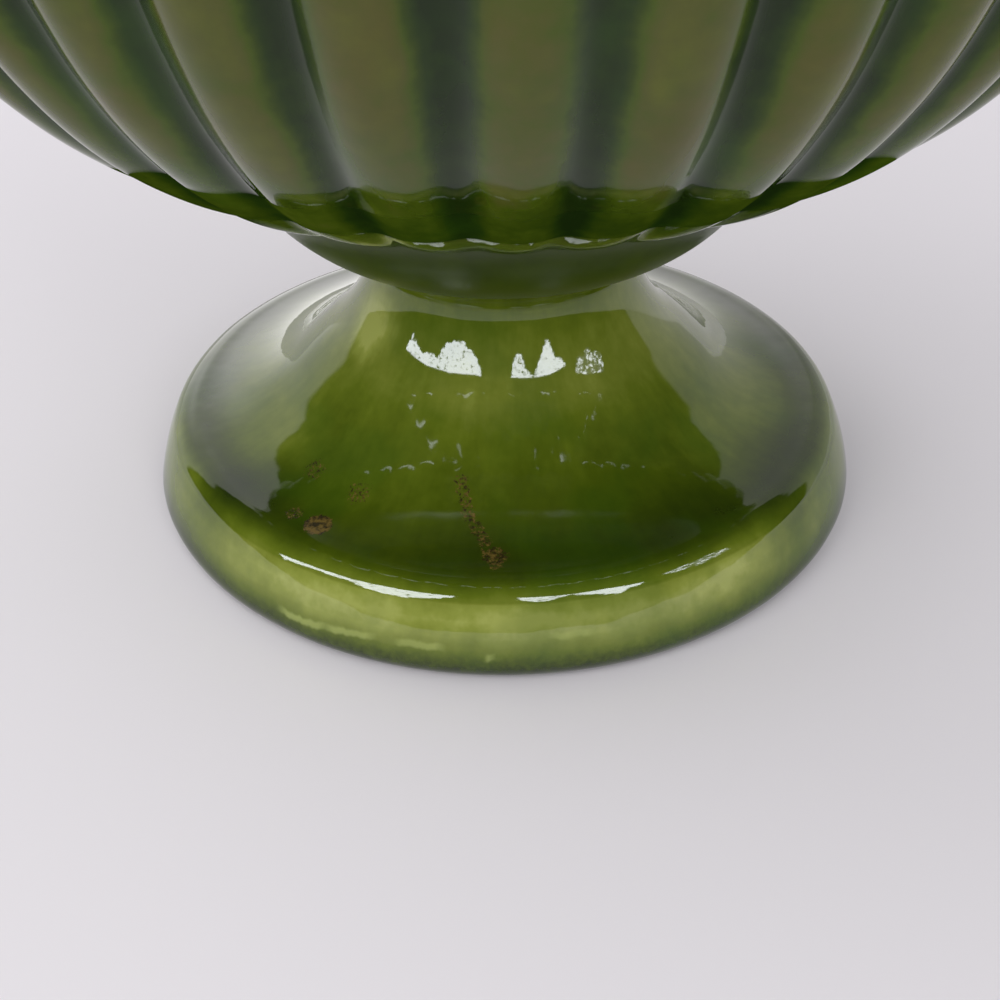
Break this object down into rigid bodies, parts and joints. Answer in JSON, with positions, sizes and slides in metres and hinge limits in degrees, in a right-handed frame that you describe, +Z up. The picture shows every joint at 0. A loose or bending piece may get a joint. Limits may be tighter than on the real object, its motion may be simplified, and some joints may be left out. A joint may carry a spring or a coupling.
{
  "type": "urn vase",
  "caption": "Glazed earthenware urn vase with a fluted round bowl on a collar and a trumpet-shaped pedestal foot, open at the top under a flared rim.",
  "frame": {"origin": "middle of the ring that the foot stands on, in the plane of the table", "axes": "+Z up along the vase's axis; the bowl and foot are round about it, with a flute's lobe facing -Y"},
  "size_m": [0.191, 0.191, 0.1908],
  "materials": {
    "green_glaze": "glossy translucent green glaze over buff earthenware, darker where it pools"
  },
  "bodies": {
    "root": {"pedestal_foot": "green_glaze", "collar": "green_glaze", "fluted_bowl": "green_glaze", "flared_neck": "green_glaze"}
  },
  "joints": []
}
